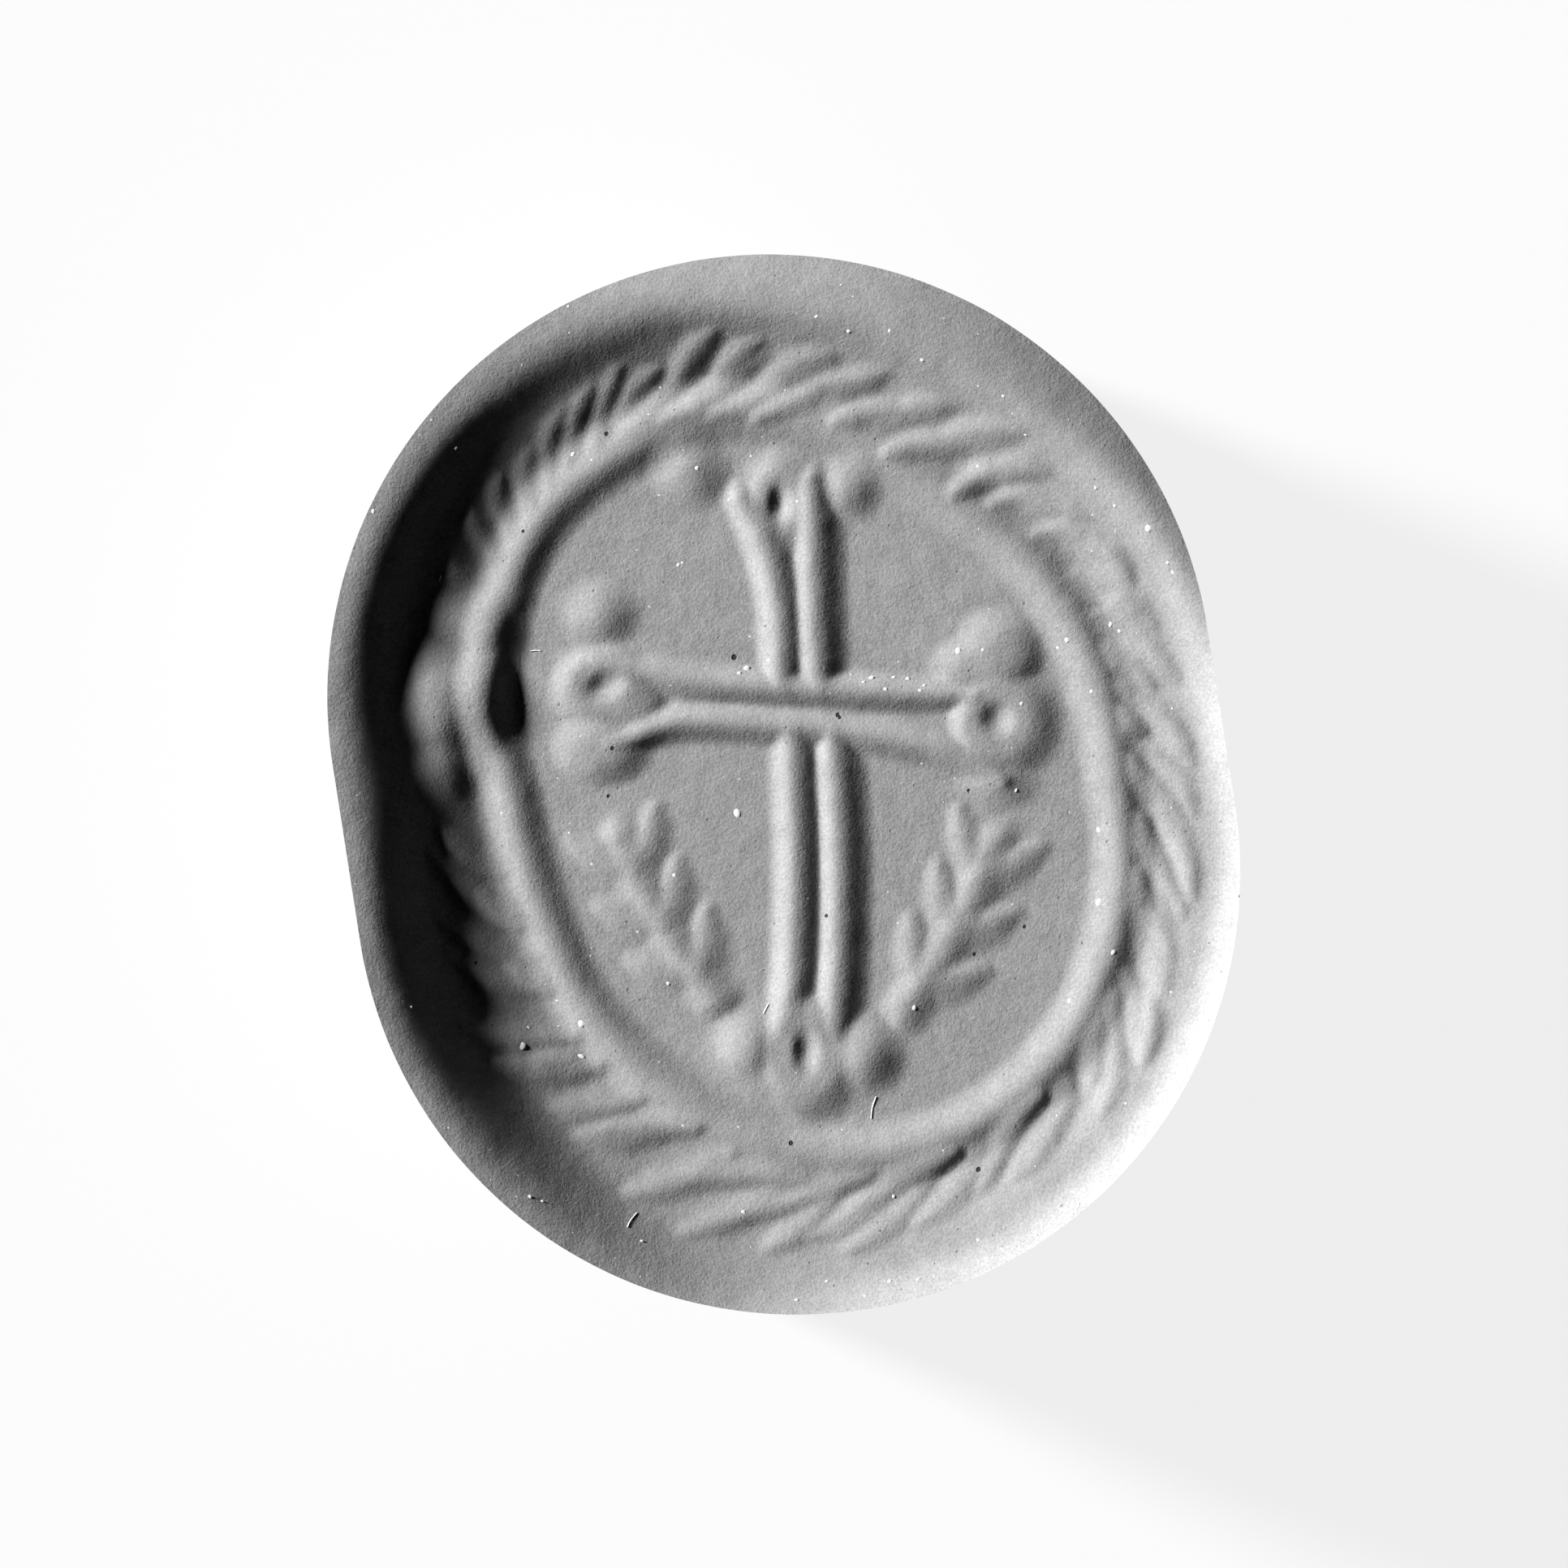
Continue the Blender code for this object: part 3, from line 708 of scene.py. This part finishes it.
@dataclass(frozen=True)
class Relief:
    """The raised marks of the face: cross, palm branches, leaves and broken mound, in millimetres.

    A route is seen from above, and a stroke's left and right are those of someone who walks it. A
    ring has its centre, half sizes and height, and so have a pellet, which is a dome, and a lobe,
    which has a flatter top. A hole has its centre, half sizes, turn and depth. The wreath's
    leaflets lean clockwise from the direction outwards, and leave a gap for the mound and tufts.
    """

    arm: Stroke = Stroke(0.64, 0.94, 0.18, Taper.ARM)
    head: Stroke = Stroke(0.64, 0.94, 0.18, Taper.HEAD)
    bar: Stroke = Stroke(0.60, 0.62, 0.17, Taper.ARM)
    leaf: Stroke = Stroke(0.52, 0.62, 0.095, Taper.LEAF)
    under_leaf: Stroke = Stroke(0.55, 0.72, 0.075, Taper.LEAF)
    tuft: Stroke = Stroke(0.52, 0.60, 0.06, Taper.LEAF)
    stem: Stroke = Stroke(0.70, 0.90, 0.11, Taper.FULL)
    leaflet: Stroke = Stroke(0.65, 0.85, 0.09, Taper.LEAFLET)
    ring_outer: float = 0.85
    light_side: Point = (-0.89, 0.45)
    light_skew: float = 0.30
    leaflet_length: float = 1.55
    leaflet_spread: float = 44.0
    leaflet_bow: float = 0.10
    leaflet_pairs: int = 3
    wreath_count: int = 46
    wreath_root: float = 0.75
    wreath_length: float = 1.05
    wreath_lean: float = 62.0
    wreath_sway: float = 10.0
    wreath_scatter: float = 0.25
    wreath_bow: float = 0.06
    wreath_sizes: Point = (0.8, 1.2)
    wreath_gap: Point = (122.0, 188.0)
    wreath_seed: int = 11
    merging: float = 4.0
    wear: float = 0.07
    lobe_flatness: float = 1.6
    heads: tuple[tuple[Point, ...], ...] = (
        ((-0.10, 2.5), (-0.12, 3.2), (-0.16, 4.3), (-0.32, 5.2), (-0.62, 6.15), (-1.10, 6.95)),
        ((0.84, 2.5), (0.76, 3.2), (0.70, 4.8), (0.67, 6.2), (0.60, 7.45)),
    )
    arms: tuple[tuple[Point, ...], ...] = (
        ((-0.10, -6.0), (0.12, -5.2), (0.24, -3.8), (0.25, -1.5), (0.20, 0.4), (0.16, 1.25)),
        ((1.22, -6.0), (1.24, -5.2), (1.32, -3.8), (1.32, -1.5), (1.22, 0.4), (1.16, 1.15)),
    )
    bars: tuple[tuple[Point, ...], ...] = (
        ((-4.6, 2.98), (-3.3, 2.72), (-2.1, 2.50), (-0.6, 2.38), (1.2, 2.30), (2.6, 2.24), (4.7, 2.18)),
        ((-4.3, 1.00), (-3.8, 1.15), (-3.1, 1.44), (-2.1, 1.54), (-0.6, 1.46), (1.2, 1.32), (2.6, 1.12),
         (3.8, 0.88), (4.9, 0.45), (5.4, 0.10)),
    )
    rings: tuple[tuple[Point, Point, float], ...] = (
        ((-0.12, 6.95), (0.50, 0.70), 0.10),
        ((-4.55, 2.42), (0.66, 0.55), 0.14),
        ((5.25, 1.60), (0.72, 0.75), 0.15),
        ((0.48, -6.60), (0.75, 0.95), 0.14),
    )
    holes: tuple[tuple[Point, Point, float, float], ...] = (
        ((-0.10, 6.90), (0.40, 0.66), 0.0, 0.11),
        ((-4.45, 2.40), (0.68, 0.46), 28.0, 0.09),
        ((5.25, 1.60), (0.56, 0.60), 0.0, 0.10),
        ((0.55, -6.60), (0.44, 0.80), 0.0, 0.095),
    )
    pellets: tuple[tuple[Point, Point, float], ...] = (
        ((-2.30, 7.70), (1.15, 1.20), 0.14),
        ((1.60, 7.30), (1.00, 1.00), 0.13),
        ((-0.30, 7.55), (0.90, 0.80), 0.09),
        ((-4.50, 4.20), (1.15, 1.05), 0.14),
        ((5.30, 0.10), (1.20, 0.95), 0.11),
        ((-0.85, -6.50), (1.15, 1.30), 0.20),
        ((1.95, -6.70), (1.25, 1.25), 0.20),
        ((-8.10, 2.05), (1.65, 2.20), 0.31),
        ((-7.80, 3.90), (1.20, 1.50), 0.16),
        ((-8.20, 0.55), (1.30, 1.40), 0.14),
    )
    lobes: tuple[tuple[Point, Point, float], ...] = (
        ((0.25, -6.70), (2.60, 1.70), 0.12),
        ((0.35, -6.10), (1.40, 0.90), 0.13),
        ((4.75, 2.85), (1.30, 0.95), 0.14),
        ((5.30, 3.20), (1.25, 1.30), 0.15),
        ((-4.50, 0.90), (1.35, 1.10), 0.15),
        ((-3.70, 1.95), (1.00, 0.90), 0.13),
    )
    stems: tuple[tuple[Point, ...], ...] = (
        ((-1.75, -5.30), (-2.60, -4.10), (-3.40, -2.80), (-4.05, -1.35)),
        ((2.95, -5.50), (3.80, -4.25), (4.55, -2.90), (5.15, -1.45)),
    )
    leaves: tuple[tuple[Point, ...], ...] = (
        ((-0.60, 9.10), (0.40, 9.55), (1.20, 9.85), (2.00, 9.90)),
        ((1.30, 9.00), (2.10, 9.20), (3.05, 9.20)),
        ((2.60, 8.20), (3.50, 8.40), (4.40, 8.30)),
        ((4.20, 7.20), (5.00, 7.65), (5.90, 7.55)),
        ((5.20, 6.95), (5.90, 7.10), (6.70, 6.75)),
        ((6.30, 6.20), (6.90, 6.30), (7.50, 6.00)),
        ((7.30, 5.90), (8.00, 5.65), (8.50, 5.00)),
        ((7.95, 4.60), (8.35, 4.42), (8.75, 4.15)),
        ((8.10, 3.30), (8.60, 2.95), (9.05, 2.40)),
        ((8.45, 2.40), (8.95, 1.98), (9.45, 1.50), (9.95, 0.95)),
        ((8.50, 1.75), (8.75, 1.45), (8.95, 1.20)),
        ((8.70, 0.55), (9.00, 0.10), (9.40, -0.35), (9.80, -0.95)),
        ((9.25, -0.60), (9.65, -1.30), (9.90, -2.00), (10.05, -2.70)),
        ((8.90, -0.90), (9.12, -1.70), (9.42, -2.40), (9.80, -3.15)),
        ((8.85, -2.25), (9.00, -3.00), (9.25, -3.70), (9.50, -4.30)),
        ((8.25, -5.25), (8.15, -6.20), (8.15, -7.20)),
        ((9.00, -5.30), (9.00, -6.00), (8.90, -6.75)),
        ((7.85, -5.95), (7.75, -6.70), (7.55, -7.45)),
        ((7.00, -7.90), (6.50, -8.60), (6.05, -9.45)),
        ((6.35, -7.75), (5.70, -8.55), (5.20, -9.30), (4.85, -9.95)),
        ((4.20, -9.15), (3.40, -9.60), (2.20, -10.20), (0.70, -11.15)),
        ((2.10, -9.75), (1.00, -10.05), (-0.20, -10.40), (-1.90, -10.85)),
        ((0.80, -9.90), (-0.50, -9.70), (-1.80, -9.65), (-3.00, -9.80)),
        ((-2.20, -8.50), (-3.50, -8.45), (-4.90, -8.60)),
        ((-4.90, -6.95), (-5.60, -6.80), (-6.30, -6.85)),
        ((-5.90, -5.10), (-6.30, -4.80), (-6.90, -4.40)),
        ((-6.60, -3.50), (-7.10, -3.05), (-7.60, -2.60)),
    )
    tufts: tuple[tuple[Point, ...], ...] = (
        ((-7.60, 4.55), (-7.95, 5.00), (-8.15, 5.40)),
        ((-7.25, 5.70), (-7.50, 6.20), (-7.65, 6.70)),
        ((-6.85, 6.30), (-7.05, 6.90), (-7.00, 7.55)),
        ((-6.40, 6.95), (-6.40, 7.60), (-6.20, 8.25)),
        ((-5.90, 7.55), (-5.80, 8.35), (-5.45, 9.20)),
        ((-5.40, 8.00), (-5.15, 8.90), (-4.75, 9.75)),
        ((-4.75, 8.40), (-4.45, 9.20), (-4.10, 10.20)),
        ((-3.95, 8.75), (-3.35, 9.25), (-2.85, 9.75), (-2.45, 10.20)),
        ((-3.00, 9.05), (-2.20, 9.40), (-1.60, 9.80), (-1.10, 10.15), (-0.55, 10.50)),
        ((-1.70, 9.15), (-0.70, 9.50), (0.20, 9.95), (1.15, 10.30)),
    )

    def palms(self) -> list[tuple[Stroke, tuple[Point, ...]]]:
        """Two palm branches, each a stem with pairs of arching leaflets."""
        marks = []
        for stem in self.stems:
            marks.append((self.stem, stem))
            points = [Vector(point) for point in stem]
            for pair in range(self.leaflet_pairs):
                place = (pair + 0.5) / self.leaflet_pairs * (len(points) - 1)
                index = min(int(place), len(points) - 2)
                ahead = points[index + 1] - points[index]
                root = points[index] + ahead * (place - index)
                bow = ahead.normalized() * self.leaflet_bow
                for side in (-1, 1):
                    turn = math.atan2(ahead.y, ahead.x) + side * math.radians(self.leaflet_spread)
                    aim = Vector((math.cos(turn), math.sin(turn))) * self.leaflet_length
                    route = (tuple(root), tuple(root + aim * 0.5 - bow), tuple(root + aim))
                    marks.append((self.leaflet, route))
        return marks

    def wreath(self, shape: Shape) -> list[tuple[Stroke, tuple[Point, ...]]]:
        """Worn leaflets all round the band, which lean clockwise."""
        draw = Random(self.wreath_seed)
        marks = []
        for step in range(self.wreath_count):
            shift = draw.uniform(-self.wreath_scatter, self.wreath_scatter)
            azimuth = 360.0 * (step + shift) / self.wreath_count
            root = shape.flat(azimuth, shape.around(shape.band_radii, azimuth) + self.wreath_root)
            sway = draw.uniform(-self.wreath_sway, self.wreath_sway)
            turn = math.radians(azimuth - self.wreath_lean - sway)
            length = self.wreath_length * shape.around(shape.slope_widths, azimuth)
            length *= draw.uniform(*self.wreath_sizes)
            aim = Vector((math.cos(turn), math.sin(turn))) * length
            bow = Vector((-aim.y, aim.x)) * self.wreath_bow
            if not self.wreath_gap[0] < azimuth < self.wreath_gap[1]:
                route = (tuple(root), tuple(root + aim * 0.5 + bow), tuple(root + aim))
                marks.append((self.under_leaf, route))
        return marks

    def ring(self, places: np.ndarray, middle: Point, size: Point, height: float) -> np.ndarray:
        """How far a disc round a drilled hole rises at some places.

        Args:
            places: The places seen from above, one a row.
            middle: Centre of the ring.
            size: Half the width and half the height of its flat top.
            height: Height of its top.

        Returns:
            The height at each place.
        """
        offset = places - np.array(middle)
        reach = np.linalg.norm(offset / np.array(size), axis=1)
        away = (reach - 1.0) * (size[0] + size[1]) / 2
        facing = offset @ np.array(self.light_side) / np.maximum(np.linalg.norm(offset, axis=1), 1e-6)
        outer = self.ring_outer * (1.0 - self.light_skew * facing)
        return height * bell(away / outer)

    def heights(self, places: np.ndarray, shape: Shape) -> np.ndarray:
        """How far all the marks together rise at some places.

        Args:
            places: The places seen from above, one a row.
            shape: The seal that they stand on.

        Returns:
            The height at each place.
        """
        marks = [*self.wreath(shape), *self.palms(), *((self.arm, route) for route in self.arms)]
        marks += [(self.head, route) for route in self.heads]
        marks += [(self.bar, route) for route in self.bars]
        marks += [(self.leaf, route) for route in self.leaves]
        marks += [(self.tuft, route) for route in self.tufts]
        total = np.zeros(len(places))
        for kind, route in marks:
            total += kind.raised(places, route) ** self.merging
        for middle, size, height in self.rings:
            total += self.ring(places, middle, size, height) ** self.merging
        for middle, size, height in self.pellets:
            reach = np.linalg.norm((places - np.array(middle)) / np.array(size), axis=1)
            total += (height * bell(reach)) ** self.merging
        for middle, size, height in self.lobes:
            reach = np.linalg.norm((places - np.array(middle)) / np.array(size), axis=1)
            total += (height * bell(reach ** self.lobe_flatness)) ** self.merging
        total = total ** (1.0 / self.merging)
        for middle, size, turn, depth in self.holes:
            ahead = np.array((math.cos(math.radians(turn)), math.sin(math.radians(turn))))
            offset = places - np.array(middle)
            turned = np.stack((offset @ ahead, offset @ np.array((-ahead[1], ahead[0]))), axis=1)
            total -= depth * bell(np.linalg.norm(turned / np.array(size), axis=1))
        return total

    def worn(self, places: np.ndarray, shape: Shape) -> np.ndarray:
        """The marks' heights at some places, softened by wear: the mean of five nearby heights."""
        shifts = np.array(((0.0, 0.0), (1.0, 0.0), (-1.0, 0.0), (0.0, 1.0), (0.0, -1.0))) * self.wear
        return np.mean([self.heights(places + shift, shape) for shift in shifts], axis=0)


@dataclass
class FrontCake(Cake):
    """The pressed face on its flat seam, with the upper half of the cord's channel.

    Its lower edge is given by insets from the outline and heights over the seam, the top of its
    side and the lowest of its face by heights over the field, and each kind of unevenness by the
    size of one lump and its depth.
    """

    relief: Relief = field(default_factory=Relief)
    facets: int = 600
    steps: int = 150
    edge: tuple[Point, ...] = ((0.25, 0.0), (0.07, 0.08), (0.0, 0.25))
    side_top: float = -0.6
    face_floor: float = -0.3
    waves: Point = (1.8, 0.02)
    ripples: Point = (0.35, 0.004)

    def build(self) -> bpy.types.Object:
        """Presses the whole face into one piece.

        Returns:
            The finished piece.
        """
        shape = self.shape
        azimuths = [360.0 * step / self.facets for step in range(self.facets)]
        profiles = [shape.profile(azimuth, self.steps) for azimuth in azimuths]
        levels = [(inset, shape.seam + rise) for inset, rise in self.edge]
        levels.append((0.0, shape.field_level + self.side_top))
        under = [[(ring[0][0] - inset, level) for ring in profiles] for inset, level in levels]
        face = self.turned([*under, *(list(ring) for ring in zip(*profiles))])
        points = np.array([vertex.co for vertex in face.data.vertices])
        pressed = points[:, 2] > shape.field_level + self.face_floor
        points[pressed, 2] += self.relief.worn(points[pressed, :2], shape)
        face.data.vertices.foreach_set("co", points.ravel())
        face.data.update()
        self.cut_channel(face)
        Bench.roughen(face, *self.waves)
        Bench.roughen(face, *self.ripples)
        Bench.finish(face, "pressed_face", self.finish.material(), "front_compound")
        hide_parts("front_cake")
        return face


@dataclass
class BackCake(Cake):
    """The rounded back on which the seal lies, with the cord's channel along its top.

    Each level is an inset from the outline and a height.
    """

    facets: int = 160
    voxel: float = 0.14
    smoothing: float = 0.5
    smoothings: int = 3
    levels: tuple[Point, ...] = (
        (1.5, 0.0), (0.95, 0.12), (0.56, 0.8), (0.35, 2.1), (0.37, 2.8), (0.42, 3.2), (0.62, 3.48),
    )

    def build(self) -> bpy.types.Object:
        """Models the back.

        Returns:
            The finished piece.
        """
        back = self.oval(self.levels)
        self.cut_channel(back)
        Bench.modify(back, "REMESH", mode="VOXEL", voxel_size=self.voxel)
        Bench.modify(back, "SMOOTH", factor=self.smoothing, iterations=self.smoothings)
        Bench.finish(back, "rounded_back", self.finish.material(), "back_compound")
        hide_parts("back_cake")
        return back


@dataclass
class Dust:
    """White crumbs, by place and radius, and fibres, by route, that lie on the face.

    Lengths are in millimetres, but a crumb's length, width and height are shares of its radius.
    """

    face: bpy.types.Object
    finish: WhiteDust
    seed: int = 7
    drop: float = 20.0
    fibre_radius: float = 0.014
    crumb_lengths: Point = (0.8, 1.3)
    crumb_widths: Point = (0.7, 1.1)
    crumb_height: float = 0.1
    roughness: Point = (0.06, 0.006)
    crumbs: tuple[tuple[float, float, float], ...] = (
        (-5.20, 8.12, 0.07), (-0.92, 2.83, 0.10), (-1.10, 2.72, 0.06), (2.15, 2.60, 0.08),
        (2.50, 2.33, 0.05), (3.05, 2.58, 0.06), (3.35, 2.30, 0.05), (3.45, 2.42, 0.05),
        (4.30, 3.27, 0.11), (1.95, 2.50, 0.05), (2.70, 2.62, 0.05), (1.65, 2.68, 0.04),
        (-1.15, -0.72, 0.10), (3.20, -5.50, 0.07), (-2.85, -4.90, 0.05), (-2.70, -2.25, 0.05),
        (-0.35, 3.05, 0.05), (6.98, 3.55, 0.08), (4.90, 3.30, 0.05), (7.58, 2.28, 0.05),
        (8.05, 3.93, 0.06), (8.27, 3.77, 0.05), (7.78, -1.15, 0.05), (5.72, -0.15, 0.05),
        (-2.15, 7.78, 0.05), (-2.60, 5.40, 0.05), (-2.50, 5.45, 0.04), (-1.35, 7.00, 0.04),
        (-4.98, -5.90, 0.11), (-5.00, -6.72, 0.08), (-6.45, -6.45, 0.09), (-6.30, -6.00, 0.04),
        (8.98, 6.30, 0.10), (7.68, 7.30, 0.06), (8.15, 6.85, 0.05), (5.95, 8.60, 0.05),
        (5.40, 9.55, 0.05), (9.45, 5.45, 0.05), (9.58, 5.20, 0.06), (3.40, 10.45, 0.05),
        (1.60, 11.15, 0.06), (0.80, 11.50, 0.05), (2.60, 11.15, 0.05), (-8.08, 8.27, 0.06),
        (7.78, -2.92, 0.12), (8.10, -4.15, 0.06), (7.05, -5.35, 0.08), (7.75, -1.12, 0.06),
        (2.60, -12.25, 0.06), (1.05, -12.25, 0.05), (0.30, -12.70, 0.05), (3.30, -12.20, 0.05),
        (-5.95, -10.25, 0.05), (-6.25, -10.15, 0.05), (-3.50, -11.25, 0.05), (-10.10, 6.70, 0.05),
        (2.70, -10.15, 0.06), (-1.00, -10.55, 0.05), (5.85, 1.98, 0.04), (-9.17, -5.48, 0.04),
    )
    fibres: tuple[tuple[Point, ...], ...] = (
        ((2.15, -8.25), (2.18, -7.98), (2.27, -7.70)),
        ((-0.50, -5.65), (-0.44, -5.53), (-0.37, -5.40)),
        ((-6.25, 3.27), (-6.12, 3.29), (-6.00, 3.28)),
        ((-8.50, 4.98), (-8.47, 5.05), (-8.45, 5.14)),
        ((-3.85, -10.90), (-3.78, -10.75), (-3.62, -10.55)),
        ((7.20, -10.20), (7.26, -10.35), (7.18, -10.48)),
    )

    def landed(self, x: float, y: float) -> Vector:
        """Place on the finished face, in millimetres."""
        above = Vector((x * MM, y * MM, self.drop * MM))
        hit = self.face.ray_cast(above, Vector((0.0, 0.0, -1.0)))[1]
        return hit / MM

    def thread(self, route: list[Vector]) -> bpy.types.Object:
        """Draws one fibre along a route."""
        Bench.clear()
        bpy.ops.curve.primitive_bezier_curve_add()
        drawn = bpy.context.object
        drawn.location = (0.0, 0.0, 0.0)
        drawn.data.bevel_depth = self.fibre_radius
        drawn.data.use_fill_caps = True
        points = drawn.data.splines[0].bezier_points
        points.add(len(route) - len(points))
        for point, place in zip(points, route):
            point.co = place
            point.handle_left_type = point.handle_right_type = "AUTO"
        Bench.take(drawn)
        bpy.ops.object.convert(target="MESH")
        return drawn

    def build(self) -> bpy.types.Object:
        """Scatters the dust at its places.

        Returns:
            The finished piece.
        """
        draw = Random(self.seed)
        made = [self.thread([self.landed(x, y) for x, y in route]) for route in self.fibres]
        for x, y, radius in self.crumbs:
            Bench.clear()
            scale = (draw.uniform(*self.crumb_lengths), draw.uniform(*self.crumb_widths),
                     self.crumb_height)
            bpy.ops.mesh.primitive_ico_sphere_add(subdivisions=2, radius=radius,
                                                  location=self.landed(x, y),
                                                  rotation=(0.0, 0.0, draw.uniform(0.0, math.tau)))
            bpy.context.object.scale = scale
            bpy.ops.object.transform_apply(location=True, rotation=True, scale=True)
            made.append(bpy.context.object)
        dust = Bench.join(made)
        Bench.roughen(dust, *self.roughness)
        Bench.finish(dust, "white_dust", self.finish.material(), "front_compound")
        return dust


@dataclass
class Studio:
    """Plain floor, soft low key light from the left and a camera straight above the seal.

    Lengths are in metres, but for the sensor, in millimetres, and angles are in degrees.
    """

    sensor: float = 36.0
    nearest: float = 0.01
    frame_width: float = 0.03864
    height: float = 0.30
    field_level: float = 0.006
    key_azimuth: float = 157.0
    key_elevation: float = 15.0
    key_strength: float = 11.8
    key_spread: float = 8.0
    ambient: float = 0.001
    floor_size: float = 4.0
    floor_gap: float = 0.00002
    floor_colour: float = 0.8
    floor_roughness: float = 0.9
    floor_glow: float = 0.85

    def camera(self) -> None:
        """Sets the camera over the middle of the seal."""
        lens = bpy.data.cameras.new("overhead")
        lens.type = "PERSP"
        lens.sensor_width = self.sensor
        lens.lens = self.sensor * self.height / self.frame_width
        lens.clip_start = self.nearest
        holder = bpy.data.objects.new("overhead", lens)
        holder.location = (0.0, 0.0, self.field_level + self.height)
        bpy.context.scene.collection.objects.link(holder)
        bpy.context.scene.camera = holder

    def light(self) -> None:
        """Sets the low key light and the faint fill all round."""
        key = bpy.data.lights.new("low_key", "SUN")
        key.energy = self.key_strength
        key.angle = math.radians(self.key_spread)
        holder = bpy.data.objects.new("low_key", key)
        azimuth, elevation = math.radians(self.key_azimuth), math.radians(self.key_elevation)
        towards = Vector((math.cos(azimuth) * math.cos(elevation),
                          math.sin(azimuth) * math.cos(elevation), math.sin(elevation)))
        holder.rotation_euler = towards.to_track_quat("Z", "Y").to_euler()
        bpy.context.scene.collection.objects.link(holder)
        world = bpy.data.worlds.new("pale_room")
        world.use_nodes = True
        bpy.context.scene.world = world
        nodes, links = world.node_tree.nodes, world.node_tree.links
        path = nodes.new("ShaderNodeLightPath")
        level = nodes.new("ShaderNodeMapRange")
        level.inputs["To Min"].default_value = self.ambient
        level.inputs["To Max"].default_value = 1.0
        seen = path.outputs["Is Camera Ray"]
        for ray in ("Is Glossy Ray", "Is Transmission Ray"):
            either = nodes.new("ShaderNodeMath")
            either.operation = "MAXIMUM"
            links.new(seen, either.inputs[0])
            links.new(path.outputs[ray], either.inputs[1])
            seen = either.outputs[0]
        links.new(seen, level.inputs["Value"])
        links.new(level.outputs[0], nodes["Background"].inputs["Strength"])
        nodes["Background"].inputs["Color"].default_value = grey(1.0)

    def floor(self) -> None:
        """Lays the white floor, which keeps a faint shadow of the seal."""
        Bench.clear()
        bpy.ops.mesh.primitive_plane_add(size=self.floor_size, location=(0.0, 0.0, -self.floor_gap))
        ground = bpy.context.object
        ground.name = "floor"
        made = Material("white_floor")
        made.feed(made.shader.inputs["Base Color"], grey(self.floor_colour))
        made.feed(made.shader.inputs["Roughness"], self.floor_roughness)
        glow = made.node("ShaderNodeEmission", Color=grey(1.0), Strength=1.0)
        path = made.node("ShaderNodeLightPath")
        seen = made.wire(path, "Is Camera Ray") * self.floor_glow
        mixed = made.node("ShaderNodeMixShader", in0=seen, in1=made.wire(made.shader), in2=made.wire(glow))
        end = made.tree.nodes["Material Output"]
        made.feed(end.inputs["Surface"], made.wire(mixed))
        ground.data.materials.append(made.data)


def main() -> None:
    """Builds the seal and its studio."""
    logging.basicConfig(level=logging.INFO)
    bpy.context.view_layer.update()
    bpy.context.scene.view_settings.view_transform = "Standard"
    studio = Studio()
    studio.camera()
    studio.light()
    studio.floor()
    shape = Shape()
    # Single holes at these places, painted dark as the shade inside them.
    marks = ((-1.22, 3.12, 0.08), (1.33, 1.70, 0.06), (1.38, 1.64, 0.05), (4.70, -4.20, 0.05),
             (1.05, -3.25, 0.05), (4.80, -9.50, 0.07), (5.93, -3.52, 0.05))
    face = FrontCake(shape, Compound("pressed_compound", marks=marks)).build()
    BackCake(shape, Compound("back_compound")).build()
    Dust(face, WhiteDust()).build()


if __name__ == "__main__":
    main()
